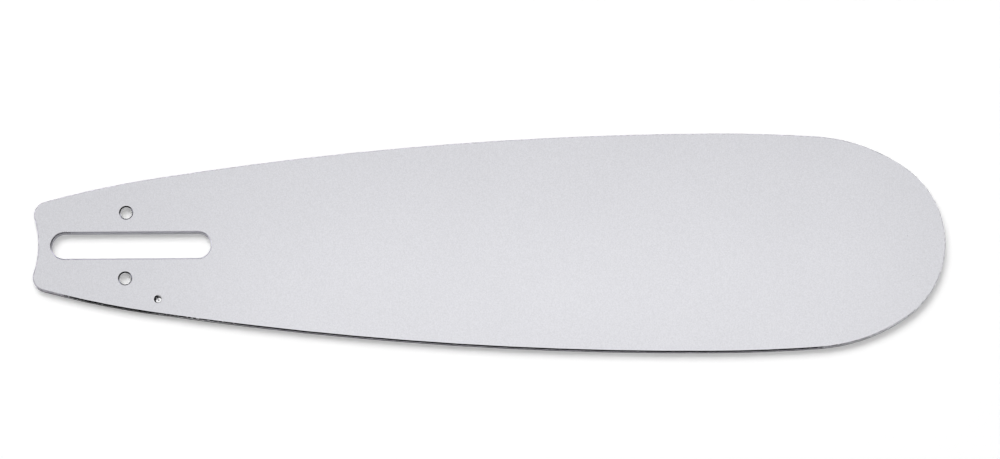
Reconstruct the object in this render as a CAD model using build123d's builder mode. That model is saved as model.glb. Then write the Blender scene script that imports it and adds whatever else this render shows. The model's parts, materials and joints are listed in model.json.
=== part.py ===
from build123d import *
import math
import os

# Solid-nose guide bar of a chainsaw: one flat plate of hardened steel. The chain's drive links run in a
# groove that is cut into the rim and follows it from one tail corner, round the nose, to the other.
#
# Sizes are in millimetres. The bar lies on its underside at Z = 0 with its nose toward +Y, and the origin
# is the centre of the stud slot on the underside. A station is a distance along the bar from that centre,
# positive toward the nose. Widths are full widths across the bar.

# Plate
THICKNESS = 4.7
EDGE_CHAMFER = 0.6

# Outline lengths along the bar: the waist is where the long rails pass into the tighter flare of the
# tail, the body is widest where the rails run parallel to the axis, and at the shoulder they pass into
# the nose.
WAIST_STATION = 8.5
RAIL_LENGTH = 259.6
FRONT_LENGTH = 48.9
NOSE_LENGTH = 59.5

# Outline widths: the body is narrower at the shoulder by the front taper. The nose has a shoulder arc
# and a tip arc, which meet where the edge has turned this far from the axis.
WAIST_WIDTH = 62.9
BODY_WIDTH = 103.1
FRONT_TAPER = 3.2
TIP_TURN_DEGREES = 35.2

# Tail end: hollowed between two corners, which are measured before they are rounded. The web stands
# between the stud slot and the hollow.
TAIL_WEB = 6.1
TAIL_HOLLOW = 4.5
TAIL_WIDTH = 37.8
TAIL_CORNER_RADIUS = 6.5

# Chain groove, centred in the thickness
GROOVE_GAUGE = 1.6
GROOVE_DEPTH = 9.5

# Stud slot, centred on the origin
SLOT_LENGTH = 73.5
SLOT_WIDTH = 12.0

# Holes for the chain tensioner's pin, one on each side of the slot
PIN_HOLE_DIAMETER = 5.4
PIN_HOLE_SPACING = 30.9
PIN_HOLE_STATION = -2.5

# Oil holes, one in each face, drilled through that face's rail into the groove. The rise is from the
# groove's floor to the hole's centre, and the drill's point has marked the far rail.
OIL_HOLE_DIAMETER = 3.0
OIL_HOLE_CHAMFER = 0.4
OIL_HOLE_STATION = 12.8
OIL_HOLE_RISE = 2.6
OIL_SPOT_DEPTH = 0.15
DRILL_POINT_DEGREES = 135.0

# Planes whose local X runs along the bar to the nose. Turning the bar over about its axis takes the upper
# plane to the under plane, so a place on one face has its counterpart on the other.
under_plane = Plane(origin=(0, 0, 0), x_dir=(0, 1, 0), z_dir=(0, 0, -1))
lying_plane = Plane(origin=(0, 0, 0), x_dir=(0, 1, 0), z_dir=(0, 0, 1))
upper_plane = lying_plane.offset(THICKNESS)
rail_thickness = (THICKNESS - GROOVE_GAUGE) / 2

# Places on one side of the outline, as distances along the bar and from its axis
waist = (WAIST_STATION, WAIST_WIDTH / 2)
widest = (WAIST_STATION + RAIL_LENGTH, BODY_WIDTH / 2)
shoulder = (widest[0] + FRONT_LENGTH, (BODY_WIDTH - FRONT_TAPER) / 2)
nose_tip = (shoulder[0] + NOSE_LENGTH, 0)
hollow_middle = (-SLOT_LENGTH / 2 - TAIL_WEB, 0)
tail_corner = (hollow_middle[0] - TAIL_HOLLOW, TAIL_WIDTH / 2)

# The tip arc's radius lets shoulder arc and tip arc meet at the given turn and close square to the axis.
front_turn = 2 * math.atan2(FRONT_TAPER / 2, FRONT_LENGTH)
tip_turn = math.radians(TIP_TURN_DEGREES)
turn_along = math.sin(tip_turn) - math.sin(front_turn)
turn_across = math.cos(front_turn) - math.cos(tip_turn)
tip_radius = (shoulder[1] * turn_along - NOSE_LENGTH * turn_across) / (
    math.cos(tip_turn) * turn_along - (1 - math.sin(tip_turn)) * turn_across
)
tip_start = (nose_tip[0] - tip_radius * (1 - math.sin(tip_turn)), tip_radius * math.cos(tip_turn))

# One side of the rim, from the tail corner to the nose's tip
with BuildLine() as rim:
    long_rail = TangentArc(widest, waist, tangent=(-1, 0))
    flare = TangentArc(waist, tail_corner, tangent=long_rail % 1)
    front_rail = TangentArc(widest, shoulder, tangent=(1, 0))
    shoulder_arc = TangentArc(shoulder, tip_start, tangent=front_rail % 1)
    TangentArc(tip_start, nose_tip, tangent=shoulder_arc % 1)

# The plate's outline, closed by the hollow tail end
with BuildSketch(lying_plane) as outline:
    with BuildLine():
        add(rim.line)
        TangentArc(hollow_middle, tail_corner, tangent=(0, 1))
        mirror(about=Plane.XZ)
    make_face()
    fillet(outline.vertices().group_by(Axis.X)[0], TAIL_CORNER_RADIUS)

# The groove's floor keeps its depth below the rim and runs straight out through the tail end.
with BuildSketch(lying_plane) as groove_floor:
    with BuildLine():
        add(rim.line)
        run_out = Line(tail_corner, flare @ 1 + flare % 1 * (2 * GROOVE_DEPTH + TAIL_CORNER_RADIUS))
        Line(run_out @ 1, ((run_out @ 1).X, 0))
        mirror(about=Plane.XZ)
    make_face()
    offset(amount=-GROOVE_DEPTH)

# An oil hole stands a set height above the groove's floor, measured across the bar from the rail
# beside it.
rail_radius = long_rail.radius
oil_hole_run = widest[0] - OIL_HOLE_STATION
oil_hole_edge = widest[1] - rail_radius + math.sqrt(rail_radius**2 - oil_hole_run**2)
oil_hole_place = (OIL_HOLE_STATION, GROOVE_DEPTH - OIL_HOLE_RISE - oil_hole_edge)
oil_hole_radius = OIL_HOLE_DIAMETER / 2
drill_point_height = oil_hole_radius / math.tan(math.radians(DRILL_POINT_DEGREES / 2))
oil_hole_depth = rail_thickness + GROOVE_GAUGE + OIL_SPOT_DEPTH
mouth_edge = (oil_hole_radius + OIL_HOLE_CHAMFER, 0)
mouth_end = (oil_hole_radius, -OIL_HOLE_CHAMFER)
drill_point = (0, -oil_hole_depth)
drill_shoulder = (oil_hole_radius, drill_point_height - oil_hole_depth)

with BuildPart() as guide_bar:
    extrude(outline.sketch, amount=THICKNESS)
    with BuildSketch(lying_plane):
        SlotOverall(SLOT_LENGTH, SLOT_WIDTH)
        with Locations((PIN_HOLE_STATION, 0)):
            with GridLocations(0, PIN_HOLE_SPACING, 1, 2):
                Circle(PIN_HOLE_DIAMETER / 2)
    extrude(amount=THICKNESS, mode=Mode.SUBTRACT)
    chamfer(guide_bar.faces().filter_by(Axis.Z).edges(), EDGE_CHAMFER)

    with BuildSketch(lying_plane.offset(rail_thickness)):
        add(outline.sketch_local)
        add(groove_floor.sketch_local, mode=Mode.SUBTRACT)
    extrude(amount=GROOVE_GAUGE, mode=Mode.SUBTRACT)

    for face_plane in (upper_plane, under_plane):
        mouth = face_plane.from_local_coords(oil_hole_place)
        with BuildSketch(Plane(origin=mouth, x_dir=face_plane.x_dir, z_dir=-face_plane.y_dir)):
            with BuildLine():
                Polyline((0, 0), mouth_edge, mouth_end, drill_shoulder, drill_point, close=True)
            make_face()
        revolve(axis=Axis(mouth, face_plane.z_dir), mode=Mode.SUBTRACT)

guide_bar.part.label = "guide_bar"
os.makedirs("parts", exist_ok=True)
export_step(guide_bar.part, "parts/guide_bar.step")
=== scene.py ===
"""Finishes, studio and camera for a chainsaw guide bar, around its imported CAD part.

The bar is one steel plate, so its CAD node stays as it is and is dressed here. Each of its facets is
sorted to the surface that it belongs to, such as a face, a rail or the chain groove, and gets the
finish that the real surface has. Sizes are in millimetres, in the part's frame: nose toward +Y, upper
face toward +Z, origin at the stud slot. A station is a distance along the bar from that origin.
"""

import json
import logging
import math
from abc import ABC, abstractmethod
from dataclasses import dataclass
from enum import Enum
from typing import Any

import bpy
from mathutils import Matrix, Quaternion, Vector

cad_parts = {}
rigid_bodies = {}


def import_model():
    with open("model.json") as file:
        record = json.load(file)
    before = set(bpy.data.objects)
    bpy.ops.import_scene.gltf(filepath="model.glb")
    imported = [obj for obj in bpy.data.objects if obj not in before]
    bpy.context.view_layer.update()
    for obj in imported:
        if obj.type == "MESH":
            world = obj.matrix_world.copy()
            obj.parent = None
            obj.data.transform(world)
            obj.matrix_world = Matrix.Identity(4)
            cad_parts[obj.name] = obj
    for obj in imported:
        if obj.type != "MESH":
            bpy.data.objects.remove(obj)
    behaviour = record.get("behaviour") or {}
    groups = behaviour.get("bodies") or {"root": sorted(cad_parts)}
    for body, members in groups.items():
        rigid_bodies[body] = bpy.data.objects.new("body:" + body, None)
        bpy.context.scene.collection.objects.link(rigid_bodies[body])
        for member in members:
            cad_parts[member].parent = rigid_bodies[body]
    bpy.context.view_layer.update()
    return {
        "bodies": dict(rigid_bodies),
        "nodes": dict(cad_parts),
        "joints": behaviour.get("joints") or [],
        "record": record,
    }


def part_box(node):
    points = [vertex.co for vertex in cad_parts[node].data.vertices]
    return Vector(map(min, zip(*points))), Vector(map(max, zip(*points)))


log = logging.getLogger("guide_bar")

Colour = tuple[float, float, float, float]
Pair = tuple[float, float]
Triple = tuple[float, float, float]
# A stretch has two ends, and each is a pair: the place where a pattern is gone, and where it is full.
Stretch = tuple[Pair, Pair]

# Blender works in metres.
MM = 0.001
# Nearly all of a noise pattern lies between these values.
NOISE_LOW = 0.3
NOISE_HIGH = 0.7
# A Mix node's sockets for colours: its two inputs and its output
MIX_FIRST = 6
MIX_SECOND = 7
MIX_RESULT = 2


def linear(hex_colour: str) -> Colour:
    """Turn an sRGB hex colour into linear light.

    Args:
        hex_colour: Colour as "#rrggbb".

    Returns:
        Red, green, blue and an alpha of 1.
    """
    channels = []
    for start in (1, 3, 5):
        share = int(hex_colour[start : start + 2], 16) / 255
        channels.append(share / 12.92 if share <= 0.04045 else ((share + 0.055) / 1.055) ** 2.4)
    return (*channels, 1.0)


def add_node(
    tree: bpy.types.NodeTree,
    kind: str,
    settings: dict[str | int, Any] | None = None,
    links: dict[str | int, bpy.types.NodeSocket] | None = None,
) -> bpy.types.Node:
    """Add a shader node with its settings and links.

    Args:
        tree: Node tree that takes the node.
        kind: The node's type, without Blender's prefix.
        settings: Values by name, for a property of the node or else for an input socket.
        links: Output sockets by the input that they feed.

    Returns:
        The new node.
    """
    node = tree.nodes.new(f"ShaderNode{kind}")
    for name, value in (settings or {}).items():
        if isinstance(name, str) and hasattr(node, name):
            setattr(node, name, value)
        else:
            node.inputs[name].default_value = value
    for name, output in (links or {}).items():
        tree.links.new(output, node.inputs[name])
    return node


def wander(
    tree: bpy.types.NodeTree,
    place: bpy.types.NodeSocket,
    size: Triple,
    low: float,
    high: float,
    detail: float = 2.0,
) -> bpy.types.NodeSocket:
    """Make a value that wanders between two limits over a surface.

    Args:
        tree: Node tree of the material.
        place: Place on the bar in millimetres.
        size: Size of the pattern's features along X, Y and Z, in millimetres.
        low: Value where the pattern is lowest.
        high: Value where the pattern is highest.
        detail: Number of finer layers in the pattern.

    Returns:
        The socket that gives the value.
    """
    cells = add_node(tree, "VectorMath", {"operation": "DIVIDE", 1: size}, {0: place})
    noise = add_node(tree, "TexNoise", {"Scale": 1.0, "Detail": detail}, {"Vector": cells.outputs[0]})
    limits = {"From Min": NOISE_LOW, "From Max": NOISE_HIGH, "To Min": low, "To Max": high}
    return add_node(tree, "MapRange", limits, {"Value": noise.outputs[0]}).outputs[0]


class Surface(Enum):
    """A surface of the bar that was made in its own way and has its own finish."""

    FACE = "face"
    RIM_EDGE = "rim edge"
    SLOT_EDGE = "slot edge"
    PIN_EDGE = "pin hole edge"
    OIL_EDGE = "oil hole edge"
    RAIL = "rail"
    GROOVE = "groove"
    CUT_WALL = "cut wall"
    PIN_HOLE = "pin hole"
    OIL_HOLE = "oil hole"
    DRILL_MARK = "drill mark"


@dataclass(frozen=True)
class Finish(ABC):
    """A finish of the bar: what the steel is and how its surface was made."""

    name: str
    colour: str
    roughness: float
    # Tint of the steel where it is seen at a grazing angle. White is a clean metal's.
    grazing: str = "#ffffff"

    def material(self) -> bpy.types.Material:
        """Make the finish's material.

        Returns:
            The material, with the finish's patterns on a metal shader.
        """
        material = bpy.data.materials.new(self.name)
        material.use_nodes = True
        tree = material.node_tree
        tree.nodes.clear()
        metal = {"Metallic": 1.0, "Roughness": self.roughness, "Specular Tint": linear(self.grazing)}
        shader = add_node(tree, "BsdfPrincipled", metal)
        add_node(tree, "OutputMaterial", None, {"Surface": shader.outputs[0]})
        metres = add_node(tree, "TexCoord").outputs["Object"]
        place = add_node(tree, "VectorMath", {"operation": "SCALE", "Scale": 1 / MM}, {0: metres})
        self.paint(tree, shader, place.outputs[0])
        return material

    @abstractmethod
    def paint(
        self, tree: bpy.types.NodeTree, shader: bpy.types.Node, place: bpy.types.NodeSocket
    ) -> None:
        """Add the finish's patterns to its shader.

        Args:
            tree: Node tree of the material.
            shader: The metal shader.
            place: Place on the bar in millimetres.
        """


@dataclass(frozen=True, kw_only=True)
class BlastedFace(Finish):
    """Tool steel, ground flat and then blasted with fine grit."""

    # Height of the upper face, and station of the nose's tip
    upper_face: float
    nose: float
    # The grit's pits are under 0.1 mm, too fine for the picture, so the grain is drawn this coarse to show.
    grain: float = 0.5
    grain_contrast: float = 0.06
    pit_depth: float = 0.004
    # Broad and faint clouds, where the blast was uneven
    cloud: float = 70.0
    cloud_contrast: float = 0.01
    # Dark specks on the upper face, by their places across the bar and back from the nose's tip
    specks: tuple[Pair, ...] = ((-2.4, 17.7), (16.4, 15.7))
    speck_radius: float = 0.35
    speck_tone: float = 0.7

    def paint(
        self, tree: bpy.types.NodeTree, shader: bpy.types.Node, place: bpy.types.NodeSocket
    ) -> None:
        """Add grain, faint clouds and the specks to the colour, and the grain's pits to the surface.

        Args:
            tree: Node tree of the material.
            shader: The metal shader.
            place: Place on the bar in millimetres.
        """
        grain = wander(tree, place, (self.grain,) * 3, 1 - self.grain_contrast, 1 + self.grain_contrast)
        cloud = wander(tree, place, (self.cloud,) * 3, 1 - self.cloud_contrast, 1 + self.cloud_contrast)
        tone = add_node(tree, "Math", {"operation": "MULTIPLY"}, {0: grain, 1: cloud}).outputs[0]
        for across, back in self.specks:
            middle = (across, self.nose - back, self.upper_face)
            away = add_node(tree, "VectorMath", {"operation": "DISTANCE", 1: middle}, {0: place})
            fade = {"From Max": self.speck_radius, "To Min": self.speck_tone, "To Max": 1.0}
            shade = add_node(tree, "MapRange", fade, {"Value": away.outputs["Value"]}).outputs[0]
            tone = add_node(tree, "Math", {"operation": "MULTIPLY"}, {0: tone, 1: shade}).outputs[0]
        base = {"operation": "SCALE", 0: linear(self.colour)[:3]}
        colour = add_node(tree, "VectorMath", base, {"Scale": tone})
        tree.links.new(colour.outputs[0], shader.inputs["Base Color"])
        pits = add_node(tree, "Bump", {"Distance": self.pit_depth * MM}, {"Height": grain})
        tree.links.new(pits.outputs[0], shader.inputs["Normal"])


@dataclass(frozen=True)
class StreakedSteel(Finish):
    """Steel with the marks of the tool that cut it, as streaks one way and a patchy tone."""

    # The tool's marks are under 0.1 mm apart, too fine for the picture, so they are drawn this coarse to
    # show. They run round the walls, level with the faces.
    streak: Triple = (20.0, 20.0, 0.25)
    streak_contrast: float = 0.2
    streak_detail: float = 3.0
    mark_depth: float = 0.01

    def paint(
        self, tree: bpy.types.NodeTree, shader: bpy.types.Node, place: bpy.types.NodeSocket
    ) -> None:
        """Add the tool's streaks to the colour and to the surface.

        Args:
            tree: Node tree of the material.
            shader: The metal shader.
            place: Place on the bar in millimetres.
        """
        low, high = 1 - self.streak_contrast, 1 + self.streak_contrast
        streaks = wander(tree, place, self.streak, low, high, self.streak_detail)
        base = {"operation": "SCALE", 0: linear(self.colour)[:3]}
        colour = add_node(tree, "VectorMath", base, {"Scale": streaks})
        tree.links.new(colour.outputs[0], shader.inputs["Base Color"])
        marks = add_node(tree, "Bump", {"Distance": self.mark_depth * MM}, {"Height": streaks})
        tree.links.new(marks.outputs[0], shader.inputs["Normal"])


@dataclass(frozen=True, kw_only=True)
class SlotEdgeSteel(StreakedSteel):
    """Milled steel that is smoother at the slot's tail end, where the cutter dwelt."""

    # Station of the slot's tail end, and the distances from it where the smoother steel is gone and full
    slot_end: float
    dwell: Pair = (14.75, 3.75)
    dwell_roughness: float = 0.22

    def paint(
        self, tree: bpy.types.NodeTree, shader: bpy.types.Node, place: bpy.types.NodeSocket
    ) -> None:
        """Add the streaks, and the smoother end.

        Args:
            tree: Node tree of the material.
            shader: The metal shader.
            place: Place on the bar in millimetres.
        """
        super().paint(tree, shader, place)
        station = add_node(tree, "SeparateXYZ", None, {0: place}).outputs["Y"]
        gone, full = (self.slot_end + distance for distance in self.dwell)
        ends = {"From Min": gone, "From Max": full}
        limits = {"To Min": self.roughness, "To Max": self.dwell_roughness}
        roughness = add_node(tree, "MapRange", {**ends, **limits}, {"Value": station})
        tree.links.new(roughness.outputs[0], shader.inputs["Roughness"])


@dataclass(frozen=True, kw_only=True)
class ShadePaintedSteel(StreakedSteel):
    """Steel of an oil hole, with painted shade that darkens its tail side."""

    # Station of the hole's centre, and the distances from it where the painted shade is gone and full
    hole_station: float
    painted_shade: Pair = (0.6, -0.8)
    painted_shade_colour: str = "#08080a"

    def paint(
        self, tree: bpy.types.NodeTree, shader: bpy.types.Node, place: bpy.types.NodeSocket
    ) -> None:
        """Add the streaks, and the painted shade over them.

        Args:
            tree: Node tree of the material.
            shader: The metal shader.
            place: Place on the bar in millimetres.
        """
        super().paint(tree, shader, place)
        bare = shader.inputs["Base Color"].links[0].from_socket
        station = add_node(tree, "SeparateXYZ", None, {0: place}).outputs["Y"]
        # Painted shade: toward the tail the steel is mixed into near black, as the shadow in the hole's
        # mouth.
        gone, full = (self.hole_station + distance for distance in self.painted_shade)
        shade_cover = add_node(tree, "MapRange", {"From Min": gone, "From Max": full}, {"Value": station})
        dark = {"data_type": "RGBA", MIX_SECOND: linear(self.painted_shade_colour)}
        shaded = add_node(tree, "Mix", dark, {"Factor": shade_cover.outputs[0], MIX_FIRST: bare})
        tree.links.new(shaded.outputs[MIX_RESULT], shader.inputs["Base Color"])


@dataclass(frozen=True, kw_only=True)
class RimSteel(Finish):
    """Rim steel, hardened and then ground bright.

    Dark scale is left beside the tail, where the wheel missed it, and the nose has a rougher hard facing.
    The facing's colour grows paler toward the tip, partly its own paler steel and partly painted light,
    where the rim turns away from the dark part of the room.
    """

    # Stations of the bar's ends. Places near the tail are distances from the tail's end, and places near
    # the nose are distances from its tip.
    tail: float
    nose: float
    # The wheel's marks are under 0.1 mm wide, too fine for the picture, so they are drawn this coarse to
    # show.
    grind: Triple = (1.5, 1.5, 0.4)
    grind_contrast: float = 0.3
    # Hardening scale, on the +X side alone, which begins between the two places across the bar. It reaches
    # farther toward the nose on the lower rail, by the slant for each millimetre of height, and its ends
    # are ragged.
    scale: Stretch = ((11.1, 23.1), (117.1, 105.1))
    scale_slant: float = 12.0
    scale_colour: str = "#120e16"
    scale_side: Pair = (-1.0, 1.0)
    ragged: Triple = (6.0, 6.0, 1.0)
    ragged_reach: float = 6.0
    # Chips of bare steel in the scale, and again where the facing begins. Where the scale is thick there
    # are few. Their pattern runs between the limits, and steel shows bright where it is above 0.
    chips: Stretch = ((11.1, 23.1), (105.1, 91.1))
    facing_chips: Stretch = ((66.5, 42.5), (14.5, 30.5))
    thick_scale: Stretch = ((17.1, 25.1), (61.1, 53.1))
    chip: Triple = (1.0, 1.0, 0.35)
    chip_limits: Pair = (-1.4, 2.2)
    chip_colour: str = "#f4f4f6"
    chip_roughness: float = 0.8
    # The tail's corner is rougher.
    corner: Pair = (21.1, 11.1)
    corner_roughness: float = 0.42
    # The facing: where it starts, then its colour and roughness at distances from the tip. The last one
    # lies past the tip, as the mottling moves these places to and fro. The paling of the colours toward the
    # tip is partly painted light, where the rim turns away from the dark part of the room.
    facing_start: float = 66.5
    facing_and_painted_light: tuple[tuple[float, str, float], ...] = (
        (36.5, "#c2c2c8", 0.5),
        (18.5, "#dadade", 0.62),
        (-3.5, "#e6e6ea", 0.64),
    )
    mottle: Triple = (2.5, 2.5, 0.6)
    mottle_reach: float = 16.0
    mottle_detail: float = 3.0

    def facing_and_light_ramp(
        self, tree: bpy.types.NodeTree, place: bpy.types.NodeSocket, station: bpy.types.NodeSocket
    ) -> bpy.types.Node:
        """Make the ramp from the plain rim to the nose's facing, paler toward the tip as partly painted
        light.

        Args:
            tree: Node tree of the material.
            place: Place on the bar in millimetres.
            station: Station on the bar.

        Returns:
            The ramp, whose colour is the steel's and whose alpha carries the roughness.
        """
        mottle = wander(
            tree, place, self.mottle, -self.mottle_reach, self.mottle_reach, self.mottle_detail
        )
        mottled = add_node(tree, "Math", {"operation": "ADD"}, {0: station, 1: mottle}).outputs[0]
        facing_end = self.facing_and_painted_light[-1][0]
        ends = {"From Min": self.nose - self.facing_start, "From Max": self.nose - facing_end}
        along = add_node(tree, "MapRange", ends, {"Value": mottled}).outputs[0]
        # The ramp's colours pale toward the tip: partly the facing's own steel, partly painted light.
        ramp = add_node(tree, "ValToRGB", None, {0: along})
        stops = ramp.color_ramp.elements
        stops[0].color = (*linear(self.colour)[:3], self.roughness)
        for distance, colour, roughness in self.facing_and_painted_light:
            share = (self.facing_start - distance) / (self.facing_start - facing_end)
            stop = stops[-1] if distance == facing_end else stops.new(share)
            stop.color = (*linear(colour)[:3], roughness)
        return ramp

    def paint(
        self, tree: bpy.types.NodeTree, shader: bpy.types.Node, place: bpy.types.NodeSocket
    ) -> None:
        """Add the nose's facing with its partly painted light, the grinding marks, and the scale with its
        chips.

        Args:
            tree: Node tree of the material.
            shader: The metal shader.
            place: Place on the bar in millimetres.
        """

        def span(ends: Pair, value: bpy.types.NodeSocket) -> bpy.types.NodeSocket:
            """Make a value that goes softly from 0 to 1 between two ends."""
            soft = {"interpolation_type": "SMOOTHSTEP", "From Min": ends[0], "From Max": ends[1]}
            return add_node(tree, "MapRange", soft, {"Value": value}).outputs[0]

        def both(first: bpy.types.NodeSocket, second: bpy.types.NodeSocket) -> bpy.types.NodeSocket:
            """Make the product of two values."""
            product = {"operation": "MULTIPLY", "use_clamp": True}
            return add_node(tree, "Math", product, {0: first, 1: second}).outputs[0]

        def within(stretch: Stretch, value: bpy.types.NodeSocket) -> bpy.types.NodeSocket:
            """Make a value of 1 inside a stretch, which fades out at its ends."""
            return both(span(stretch[0], value), span(stretch[1], value))

        axes = add_node(tree, "SeparateXYZ", None, {0: place}).outputs
        wavering = wander(tree, place, self.ragged, -self.ragged_reach, self.ragged_reach)
        ragged = add_node(tree, "Math", {"operation": "ADD"}, {0: axes["Y"], 1: wavering}).outputs[0]
        to_tail = add_node(tree, "Math", {"operation": "SUBTRACT", 1: self.tail}, {0: ragged}).outputs[0]
        to_nose = add_node(tree, "Math", {"operation": "SUBTRACT", 0: self.nose}, {1: ragged}).outputs[0]
        scale_side = span(self.scale_side, axes["X"])

        # Ground steel and the facing, whose paling toward the tip is partly painted light
        ramp = self.facing_and_light_ramp(tree, place, axes["Y"])
        marks = wander(tree, place, self.grind, 1 - self.grind_contrast, 1 + self.grind_contrast)
        ground = {0: ramp.outputs["Color"], "Scale": marks}
        bare = add_node(tree, "VectorMath", {"operation": "SCALE"}, ground).outputs[0]

        # Scale
        slant = {"operation": "MULTIPLY_ADD", 1: self.scale_slant}
        slanted = add_node(tree, "Math", slant, {0: axes["Z"], 2: to_tail}).outputs[0]
        scale = both(both(span(self.scale[0], to_tail), span(self.scale[1], slanted)), scale_side)
        dark = {"data_type": "RGBA", MIX_SECOND: linear(self.scale_colour)}
        scaled = add_node(tree, "Mix", dark, {"Factor": scale, MIX_FIRST: bare}).outputs[MIX_RESULT]

        # Chips
        zones = {0: within(self.chips, to_tail), 1: within(self.facing_chips, to_nose)}
        chipped = add_node(tree, "Math", {"operation": "ADD"}, zones).outputs[0]
        pattern = wander(tree, place, self.chip, *self.chip_limits)
        thinned = {0: pattern, 1: within(self.thick_scale, to_tail)}
        thin = add_node(tree, "Math", {"operation": "SUBTRACT"}, thinned).outputs[0]
        chips = both(both(chipped, scale_side), thin)
        bright = {"data_type": "RGBA", MIX_SECOND: linear(self.chip_colour)}
        colour = add_node(tree, "Mix", bright, {"Factor": chips, MIX_FIRST: scaled})
        tree.links.new(colour.outputs[MIX_RESULT], shader.inputs["Base Color"])

        # Roughness
        gone, full = (self.tail + distance for distance in self.corner)
        rise = {"From Min": gone, "From Max": full, "To Max": self.corner_roughness}
        corner = add_node(tree, "MapRange", rise, {"Value": axes["Y"]}).outputs[0]
        rougher = {0: ramp.outputs["Alpha"], 1: corner}
        plain = add_node(tree, "Math", {"operation": "MAXIMUM"}, rougher).outputs[0]
        roughness = add_node(tree, "Mix", {"B": self.chip_roughness}, {"Factor": chips, "A": plain})
        tree.links.new(roughness.outputs[0], shader.inputs["Roughness"])


@dataclass
class GuideBar:
    """The bar: one plate with a chain groove, a stud slot, two pin holes and two oil holes."""

    plate: bpy.types.Object
    tail: float
    nose: float
    thickness: float
    rail_thickness: float
    slot_radius: float
    slot_reach: float
    pin_holes: list[tuple[Vector, float]]
    oil_holes: list[tuple[Vector, float]]

    # A facet is level or steep by the upright part of its direction. The slacks are how far off a place
    # its centre may lie: in general, and at the groove's sides.
    level: float = 0.99
    steep: float = 0.3
    slack: float = 0.7
    groove_slack: float = 0.035
    # Contrast of tool marks that hardly show
    faint: float = 0.06

    @classmethod
    def from_frame(cls, frame: dict[str, Any]) -> "GuideBar":
        """Read the bar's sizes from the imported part.

        Args:
            frame: The loaded frame.

        Returns:
            The bar around its CAD node.
        """
        mounts = {mount["name"]: mount for mount in frame["record"]["mounts"]}
        low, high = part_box("guide_bar")
        slot = mounts["stud_slot"]["dims"]

        def holes(*names: str) -> list[tuple[Vector, float]]:
            """Give each named hole's centre and radius."""
            found = [mounts[name] for name in names]
            return [(Vector(hole["pos_m"]) / MM, hole["dims"]["r_mm"]) for hole in found]

        return cls(
            plate=frame["nodes"]["guide_bar"],
            tail=low.y / MM,
            nose=high.y / MM,
            thickness=(high.z - low.z) / MM,
            rail_thickness=mounts["oil_hole_upper"]["dims"]["length_mm"],
            slot_radius=slot["hole_r_mm"],
            slot_reach=slot["slot_length_mm"] / 2 - slot["hole_r_mm"],
            pin_holes=holes("tensioner_hole_left", "tensioner_hole_right"),
            oil_holes=holes("oil_hole_upper", "oil_hole_under"),
        )

    def surface_of(self, centre: Vector, normal: Vector) -> Surface:
        """Sort a facet to its surface.

        Args:
            centre: The facet's centre in millimetres.
            normal: The facet's direction.

        Returns:
            The surface that the facet belongs to.
        """
        height = abs(centre.z - self.thickness / 2)
        at_face = height > self.thickness / 2 - self.slack
        if at_face and abs(normal.z) > self.level:
            return Surface.FACE
        edge = at_face and abs(normal.z) > self.steep
        if any((centre - hole).xy.length < radius + self.slack for hole, radius in self.oil_holes):
            if edge:
                return Surface.OIL_EDGE
            return Surface.DRILL_MARK if abs(normal.z) > self.steep else Surface.OIL_HOLE
        if any((centre - hole).xy.length < radius + self.slack for hole, radius in self.pin_holes):
            return Surface.PIN_EDGE if edge else Surface.PIN_HOLE
        beyond = max(abs(centre.y) - self.slot_reach, 0.0)
        if math.hypot(centre.x, beyond) < self.slot_radius + self.slack:
            return Surface.SLOT_EDGE if edge else Surface.CUT_WALL
        if edge:
            return Surface.RIM_EDGE
        if height < self.thickness / 2 - self.rail_thickness + self.groove_slack:
            return Surface.GROOVE
        if normal.y < -self.steep and centre.y < -self.slot_reach:
            return Surface.CUT_WALL
        return Surface.RAIL

    def finishes(self) -> dict[Surface, Finish]:
        """Choose the finish of each surface.

        Returns:
            The finishes, with their patterns placed by the bar's own sizes.
        """
        ends = {"tail": self.tail, "nose": self.nose}
        slot_end = -self.slot_reach - self.slot_radius
        oil_hole = self.oil_holes[0][0].y
        return {
            # Blasting scatters the light evenly, so the face is a pale satin grey with a fine grain.
            Surface.FACE: BlastedFace(
                "blasted_tool_steel", "#d8d8dc", 0.6, upper_face=self.thickness, nose=self.nose
            ),
            # The ground edge is smooth and mirrors the dark of the room, as a dark line along the rim.
            Surface.RIM_EDGE: RimSteel(
                "ground_rim_edge_steel", "#ccc9d2", 0.14, **ends, chip_limits=(-3.8, 1.2)
            ),
            # The milled edge is duller than a ground one, so its line is grey.
            Surface.SLOT_EDGE: SlotEdgeSteel(
                "milled_edge_steel", "#f4f2fb", 0.34, streak_contrast=self.faint, slot_end=slot_end
            ),
            # The countersink is nearly polished, with a black crescent on one side and a thin grey ring.
            Surface.PIN_EDGE: StreakedSteel(
                "countersunk_steel", "#b8b8be", 0.07, streak_contrast=self.faint
            ),
            # The deburred mouth is dull and as pale as the face, apart from a black crescent of painted
            # shade on its tail side.
            Surface.OIL_EDGE: ShadePaintedSteel(
                "deburred_steel", "#f4f4f6", 0.6, streak_contrast=self.faint, hole_station=oil_hole
            ),
            # The rails are duller than their edge, so a greyer band lies under its dark line.
            Surface.RAIL: RimSteel("ground_rail_steel", "#c8c5ce", 0.42, **ends),
            # The saw left the groove smooth, so that light goes deep into it.
            Surface.GROOVE: StreakedSteel("sawn_groove_steel", "#f0f0f2", 0.12, streak_contrast=0.08),
            # The milled walls are a middle grey, with the cutter's streaks.
            Surface.CUT_WALL: StreakedSteel("milled_wall_steel", "#b0b0b8", 0.35),
            # The punch burnished the walls of the pin holes, so they are bright.
            Surface.PIN_HOLE: StreakedSteel("punched_wall_steel", "#f4f4f6", 0.3, streak_contrast=0.08),
            # The drilled walls are bright toward the nose and painted dark as shade on the tail side, and
            # dull where one looks along them.
            Surface.OIL_HOLE: ShadePaintedSteel(
                "drilled_steel", "#f4f4f6", 0.3, "#505054", hole_station=oil_hole
            ),
            # The drill's point left a dull, pale dimple.
            Surface.DRILL_MARK: StreakedSteel(
                "drill_point_steel", "#f0f0f2", 0.6, streak_contrast=self.faint
            ),
        }

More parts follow.
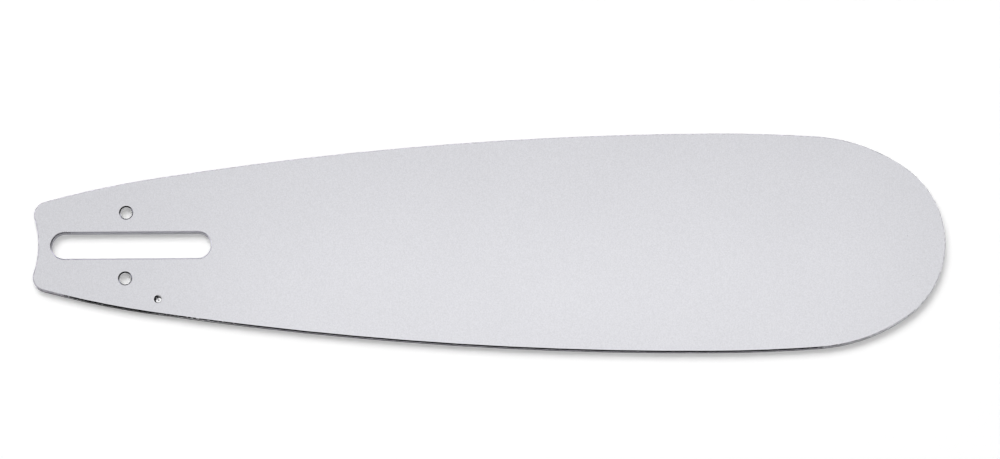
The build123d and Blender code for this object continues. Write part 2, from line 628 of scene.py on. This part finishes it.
    def dress(self) -> None:
        """Give each facet the finish of its surface."""
        finishes = self.finishes()
        mesh = self.plate.data
        mesh.materials.clear()
        slots = {surface: slot for slot, surface in enumerate(finishes)}
        for finish in finishes.values():
            mesh.materials.append(finish.material())
        counts = dict.fromkeys(finishes, 0)
        for facet in mesh.polygons:
            surface = self.surface_of(facet.center / MM, facet.normal)
            facet.material_index = slots[surface]
            counts[surface] += 1
        for surface, count in counts.items():
            log.info("%s: %d facets, %s", surface.value, count, finishes[surface].name)


@dataclass(frozen=True)
class Panel:
    """A flat soft lamp that hangs level over the table and shines straight down."""

    name: str
    # Its two sides across the bar, its two ends along the bar, and its height over the table
    across: Pair
    along: Pair
    height: float
    # A radiance of 1 shows as white.
    radiance: float
    lights_table: bool
    shows_in_steel: bool

    def hang(self) -> None:
        """Hang the lamp at its place."""
        width, length = ((high - low) * MM for low, high in (self.across, self.along))
        lamp = bpy.data.lights.new(self.name, "AREA")
        lamp.shape = "RECTANGLE"
        lamp.size = width
        lamp.size_y = length
        lamp.energy = self.radiance * math.pi * width * length
        panel = bpy.data.objects.new(self.name, lamp)
        panel.location = Vector((sum(self.across) / 2, sum(self.along) / 2, self.height)) * MM
        panel.visible_camera = False
        panel.visible_diffuse = self.lights_table
        panel.visible_glossy = self.shows_in_steel
        bpy.context.scene.collection.objects.link(panel)
        log.info("%s: lamp of %.0f by %.0f mm", self.name, width / MM, length / MM)


@dataclass
class Studio:
    """A white table in a pale room that is dark low down on the camera's side.

    Two soft lamps light the table and cast the bar's shadow. A third one shows only in the steel, as a
    faint sheen.
    """

    floor_size: float = 40000.0
    floor_gap: float = 0.02
    floor_colour: str = "#e7e7e7"
    # What the camera and reflections see of the table is lifted by this much, so that it reads as white.
    floor_lift: float = 0.29
    # The room's light on matt surfaces, as a share of how bright the room looks
    fill: float = 0.08
    # The dark part of the room: how bright it is, the azimuth of its middle in degrees from +X toward +Y,
    # and where it is gone and full, by the cosine from its middle and by the sine of the height.
    dark_level: float = 0.01
    dark_azimuth: float = 24.0
    dark_side: Pair = (-0.65, 0.4)
    dark_height: Pair = (0.5, 0.25)
    key: Panel = Panel(
        "soft_light",
        across=(-6630.0, -1170.0),
        along=(-5350.0, 890.0),
        height=6000.0,
        radiance=5.75,
        lights_table=True,
        shows_in_steel=False,
    )
    side: Panel = Panel(
        "side_light",
        across=(0.0, 2000.0),
        along=(470.0, 3770.0),
        height=6000.0,
        radiance=3.5,
        lights_table=True,
        shows_in_steel=False,
    )
    sheen: Panel = Panel(
        "sheen_light",
        across=(-18.0, 36.0),
        along=(5.0, 396.0),
        height=174.0,
        radiance=1.0,
        lights_table=False,
        shows_in_steel=True,
    )

    def seen(self, tree: bpy.types.NodeTree) -> bpy.types.NodeSocket:
        """Make a value of 1 for what the camera, a reflection or a view through glass sees.

        Light that reaches the camera by way of a matt surface gives 0, so that the steel doesn't light
        the table.

        Args:
            tree: Node tree of a material or of the world.

        Returns:
            The socket that gives the value.
        """
        path = add_node(tree, "LightPath").outputs
        views = {0: path["Is Camera Ray"], 1: path["Is Glossy Ray"]}
        mirrored = add_node(tree, "Math", {"operation": "MAXIMUM"}, views)
        through = {0: mirrored.outputs[0], 1: path["Is Transmission Ray"]}
        direct = add_node(tree, "Math", {"operation": "MAXIMUM"}, through)
        lasting = {0: direct.outputs[0], 1: path["Diffuse Depth"]}
        return add_node(tree, "Math", {"operation": "SUBTRACT", "use_clamp": True}, lasting).outputs[0]

    def lay_floor(self) -> None:
        """Lay the table under the bar."""
        half = self.floor_size * MM / 2
        corners = [(-half, -half), (half, -half), (half, half), (-half, half)]
        mesh = bpy.data.meshes.new("floor")
        mesh.from_pydata([(x, y, -self.floor_gap * MM) for x, y in corners], [], [(0, 1, 2, 3)])
        floor = bpy.data.objects.new("floor", mesh)
        bpy.context.scene.collection.objects.link(floor)

        # Matt white laminate scatters the light evenly, so the table is plain but for the shadow.
        material = bpy.data.materials.new("matt_white_table")
        material.use_nodes = True
        tree = material.node_tree
        tree.nodes.clear()
        matt = add_node(tree, "BsdfDiffuse", {"Color": linear(self.floor_colour)})
        lift = {"operation": "MULTIPLY", 1: self.floor_lift}
        strength = add_node(tree, "Math", lift, {0: self.seen(tree)})
        white = add_node(tree, "Emission", None, {"Strength": strength.outputs[0]})
        both = add_node(tree, "AddShader", None, {0: matt.outputs[0], 1: white.outputs[0]})
        add_node(tree, "OutputMaterial", None, {"Surface": both.outputs[0]})
        mesh.materials.append(material)
        log.info("floor: table of %.0f mm", self.floor_size)

    def dark_share(self, tree: bpy.types.NodeTree) -> bpy.types.NodeSocket:
        """Make a value of 1 for reflections that look into the dark part of the room.

        Args:
            tree: Node tree of the world.

        Returns:
            The socket that gives the value.
        """
        direction = add_node(tree, "TexCoord").outputs["Generated"]
        turn = math.radians(self.dark_azimuth)
        middle = {"operation": "DOT_PRODUCT", 1: (math.cos(turn), math.sin(turn), 0.0)}
        toward = add_node(tree, "VectorMath", middle, {0: direction}).outputs["Value"]
        height = add_node(tree, "SeparateXYZ", None, {0: direction}).outputs["Z"]
        share = add_node(tree, "LightPath").outputs["Is Glossy Ray"]
        for (gone, full), value in ((self.dark_side, toward), (self.dark_height, height)):
            soft = {"interpolation_type": "SMOOTHSTEP", "From Min": gone, "From Max": full}
            part = add_node(tree, "MapRange", soft, {"Value": value}).outputs[0]
            share = add_node(tree, "Math", {"operation": "MULTIPLY"}, {0: share, 1: part}).outputs[0]
        return share

    def light(self) -> None:
        """Hang the lamps and light the room."""
        for panel in (self.key, self.side, self.sheen):
            panel.hang()
        world = bpy.data.worlds.new("pale_room")
        world.use_nodes = True
        bpy.context.scene.world = world
        tree = world.node_tree
        tree.nodes.clear()
        looks = {"To Min": self.fill, "To Max": 1.0}
        pale = add_node(tree, "MapRange", looks, {"Value": self.seen(tree)}).outputs[0]
        dark = {"To Min": 1.0, "To Max": self.dark_level}
        shade = add_node(tree, "MapRange", dark, {"Value": self.dark_share(tree)}).outputs[0]
        strength = add_node(tree, "Math", {"operation": "MULTIPLY"}, {0: pale, 1: shade}).outputs[0]
        room = add_node(tree, "Background", {"Color": linear("#ffffff")}, {"Strength": strength})
        add_node(tree, "OutputWorld", None, {"Surface": room.outputs[0]})


@dataclass
class PhotoCamera:
    """The photograph's camera: a long lens that looks steeply down on the bar from its +X side."""

    # Width of the picture and focal length, both in pixels, and width of the sensor
    picture_pixels: float = 1000.0
    focal_pixels: float = 3300.0
    sensor: float = 36.0
    # Where the camera stands, in degrees: its height over the horizon, how far round it is from the tail
    # toward +X, and its turn about its own axis
    elevation: float = 78.4542
    azimuth: float = 87.37
    roll: float = 2.2225
    # Distance from the point on the upper face that it is aimed at, and that point's place
    distance: float = 1525.77
    aim_across: float = -6.444
    aim_station: float = 170.345

    def place(self, upper_face: float) -> None:
        """Set up the camera.

        Args:
            upper_face: Height of the bar's upper face, which the camera is aimed at.
        """
        data = bpy.data.cameras.new("photo_camera")
        data.sensor_width = self.sensor
        data.lens = self.focal_pixels / self.picture_pixels * self.sensor
        camera = bpy.data.objects.new("photo_camera", data)
        turn, rise = math.radians(self.azimuth), math.radians(self.elevation)
        back = Vector((math.sin(turn) * math.cos(rise), -math.cos(turn) * math.cos(rise), math.sin(rise)))
        aim = Vector((self.aim_across, self.aim_station, upper_face))
        camera.location = (aim + back * self.distance) * MM
        camera.rotation_mode = "QUATERNION"
        level = back.to_track_quat("Z", "Y")
        camera.rotation_quaternion = level @ Quaternion((0, 0, 1), math.radians(self.roll))
        bpy.context.scene.collection.objects.link(camera)
        bpy.context.scene.camera = camera


def main() -> None:
    """Load the part, dress it and set up the studio and the camera."""
    logging.basicConfig(level=logging.INFO, format="%(name)s: %(message)s")
    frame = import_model()

    bar = GuideBar.from_frame(frame)
    bar.dress()
    log.info("guide bar: %.1f mm long, %.1f mm thick", bar.nose - bar.tail, bar.thickness)
    studio = Studio()
    studio.lay_floor()
    studio.light()
    PhotoCamera().place(bar.thickness)
    bpy.context.scene.view_settings.view_transform = "Standard"


if __name__ == "__main__":
    main()
